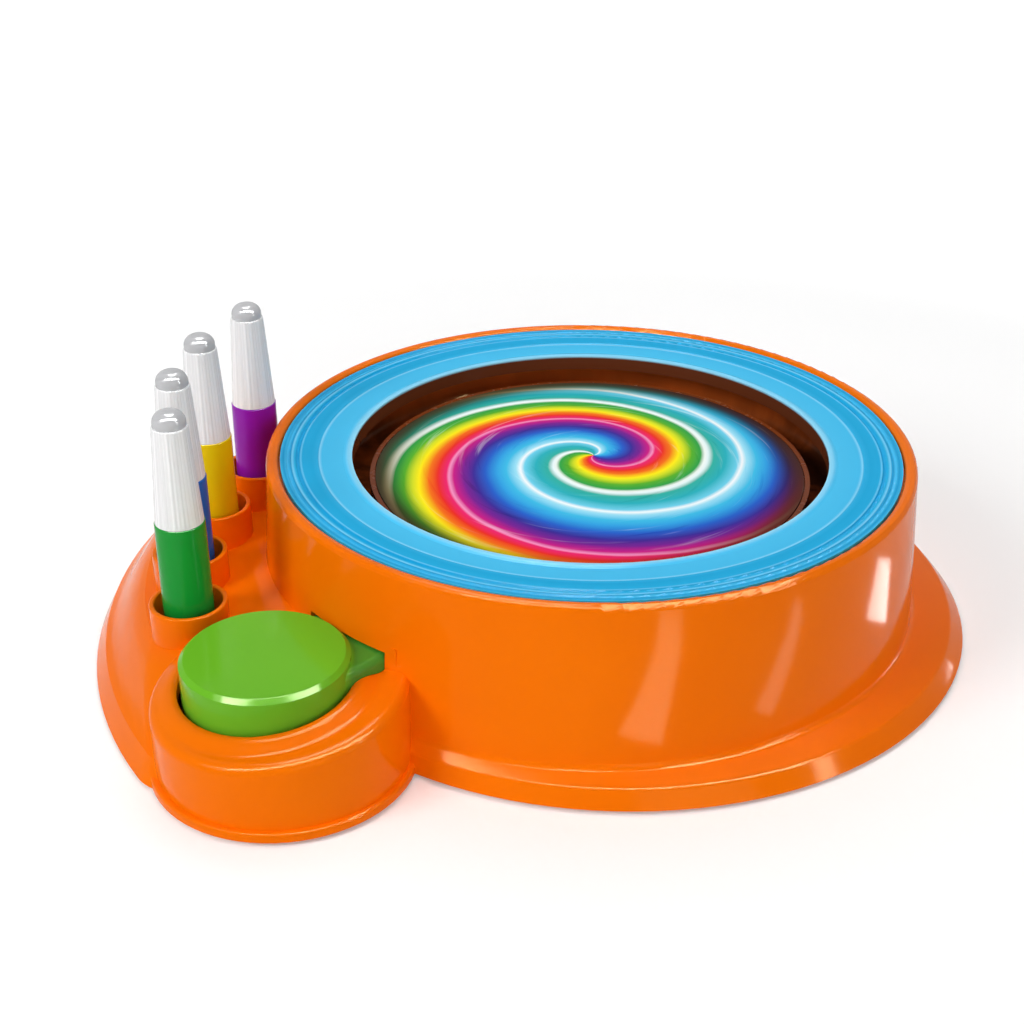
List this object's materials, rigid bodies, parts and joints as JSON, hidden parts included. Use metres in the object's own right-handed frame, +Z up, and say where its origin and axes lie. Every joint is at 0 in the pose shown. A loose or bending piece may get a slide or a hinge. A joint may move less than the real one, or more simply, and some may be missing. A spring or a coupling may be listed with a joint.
{
  "type": "spin art machine",
  "caption": "Hand-pumped spin art machine: round drum with a splash ring and spinning card platter, a hinged press paddle on a side pod, and felt pens in wing sockets.",
  "frame": {"origin": "on the ground under the platter's axis, at the middle of the centre foot's underside", "axes": "+Z up along the platter's spindle, -Y towards the user, +X to the user's right, with the pen wing on -X"},
  "size_m": [0.2764, 0.2391, 0.0943],
  "materials": {
    "housing_orange": "injection-moulded glossy orange",
    "base_orange": "satin moulded orange",
    "zinc_steel": "zinc-plated steel",
    "spring_steel": "spring steel",
    "foot_rubber": "soft black rubber",
    "ring_blue": "glossy sky blue",
    "paddle_green": "glossy leaf green",
    "acetal_white": "natural acetal",
    "acetal_black": "black acetal",
    "bush_brass": "sintered brass",
    "platter_orange": "glossy orange",
    "painted_card": "white card with wet swirled paint",
    "barrel_white": "glossy white",
    "plug_grey": "translucent grey-white",
    "cap_green": "glossy green",
    "cap_blue": "glossy blue",
    "cap_yellow": "glossy yellow",
    "cap_purple": "glossy purple",
    "ink_green": "green felt",
    "ink_blue": "blue felt",
    "ink_yellow": "yellow felt",
    "ink_purple": "purple felt"
  },
  "bodies": {
    "housing": {"upper_housing": "housing_orange", "base_plate": "base_orange", "base_screws": "zinc_steel", "rubber_feet": "foot_rubber", "hinge_pin": "zinc_steel", "rack_keeper": "acetal_black", "gear_bridge": "acetal_black", "mechanism_screws": "zinc_steel", "gear_axle": "zinc_steel", "axle_clip": "zinc_steel", "upper_bush": "bush_brass", "lower_bush": "bush_brass", "thrust_washer": "bush_brass", "return_spring": "spring_steel"},
    "paddle": {"press_paddle": "paddle_green"},
    "rack": {"rack_slide": "acetal_white"},
    "gear": {"compound_gear": "acetal_white"},
    "driver": {"drive_pinion": "acetal_white", "freewheel_rollers": "zinc_steel"},
    "turntable": {"spindle": "zinc_steel", "freewheel_cup": "acetal_black", "flywheel": "zinc_steel", "flywheel_clip": "spring_steel", "platter": "platter_orange", "platter_screw": "zinc_steel"},
    "card": {"paint_card": "painted_card"},
    "ring": {"splash_ring": "ring_blue"},
    "green_cap": {"green_pen_cap": "cap_green"},
    "green_pen": {"green_pen_barrel": "barrel_white", "green_pen_end_plug": "plug_grey", "green_pen_nib": "ink_green", "green_pen_reservoir": "ink_green"},
    "blue_cap": {"blue_pen_cap": "cap_blue"},
    "blue_pen": {"blue_pen_barrel": "barrel_white", "blue_pen_end_plug": "plug_grey", "blue_pen_nib": "ink_blue", "blue_pen_reservoir": "ink_blue"},
    "yellow_cap": {"yellow_pen_cap": "cap_yellow"},
    "yellow_pen": {"yellow_pen_barrel": "barrel_white", "yellow_pen_end_plug": "plug_grey", "yellow_pen_nib": "ink_yellow", "yellow_pen_reservoir": "ink_yellow"},
    "purple_cap": {"purple_pen_cap": "cap_purple"},
    "purple_pen": {"purple_pen_barrel": "barrel_white", "purple_pen_end_plug": "plug_grey", "purple_pen_nib": "ink_purple", "purple_pen_reservoir": "ink_purple"}
  },
  "joints": [
    {"name": "press", "type": "hinge", "parent": "housing", "child": "paddle", "pos_m": [-0.06781, -0.06937, 0.0299], "axis": [0.7071, -0.7071, 0], "range_deg": [0, 16], "stiffness_Nm_per_rad": 0.6, "springref_deg": -17.19, "deforming": ["return_spring"]},
    {"name": "rack_travel", "type": "slide", "parent": "housing", "child": "rack", "axis": [0.7071, 0.7071, 0], "range_m": [0, 0.0063]},
    {"name": "gear_spin", "type": "hinge", "parent": "housing", "child": "gear", "pos_m": [-0.01727, -0.02929, 0.0125], "axis": [0, 0, 1], "range_deg": [-80, 0]},
    {"name": "driver_spin", "type": "hinge", "parent": "housing", "child": "driver", "pos_m": [0, 0, 0.0125], "axis": [0, 0, 1], "range_deg": [0, 370]},
    {"name": "turntable_spin", "type": "hinge", "parent": "housing", "child": "turntable", "pos_m": [0, 0, 0.03], "axis": [0, 0, 1], "continuous": true},
    {"name": "card_lift", "type": "slide", "parent": "turntable", "child": "card", "axis": [0, 0, 1], "range_m": [0, 0.03]},
    {"name": "ring_lift", "type": "slide", "parent": "housing", "child": "ring", "axis": [0, 0, 1], "range_m": [0, 0.03]},
    {"name": "green_pen_lift", "type": "slide", "parent": "housing", "child": "green_cap", "axis": [0, 0, 1], "range_m": [0, 0.05]},
    {"name": "green_pen_uncap", "type": "slide", "parent": "green_cap", "child": "green_pen", "axis": [0, 0, 1], "range_m": [0, 0.03]},
    {"name": "blue_pen_lift", "type": "slide", "parent": "housing", "child": "blue_cap", "axis": [0, 0, 1], "range_m": [0, 0.05]},
    {"name": "blue_pen_uncap", "type": "slide", "parent": "blue_cap", "child": "blue_pen", "axis": [0, 0, 1], "range_m": [0, 0.03]},
    {"name": "yellow_pen_lift", "type": "slide", "parent": "housing", "child": "yellow_cap", "axis": [0, 0, 1], "range_m": [0, 0.05]},
    {"name": "yellow_pen_uncap", "type": "slide", "parent": "yellow_cap", "child": "yellow_pen", "axis": [0, 0, 1], "range_m": [0, 0.03]},
    {"name": "purple_pen_lift", "type": "slide", "parent": "housing", "child": "purple_cap", "axis": [0, 0, 1], "range_m": [0, 0.05]},
    {"name": "purple_pen_uncap", "type": "slide", "parent": "purple_cap", "child": "purple_pen", "axis": [0, 0, 1], "range_m": [0, 0.03]}
  ],
  "couplings": [
    {"joint": "rack_travel", "follows": "press", "m_per_rad": 0.022},
    {"joint": "gear_spin", "follows": "press", "ratio": -4.8889},
    {"joint": "driver_spin", "follows": "press", "ratio": 22.815}
  ]
}
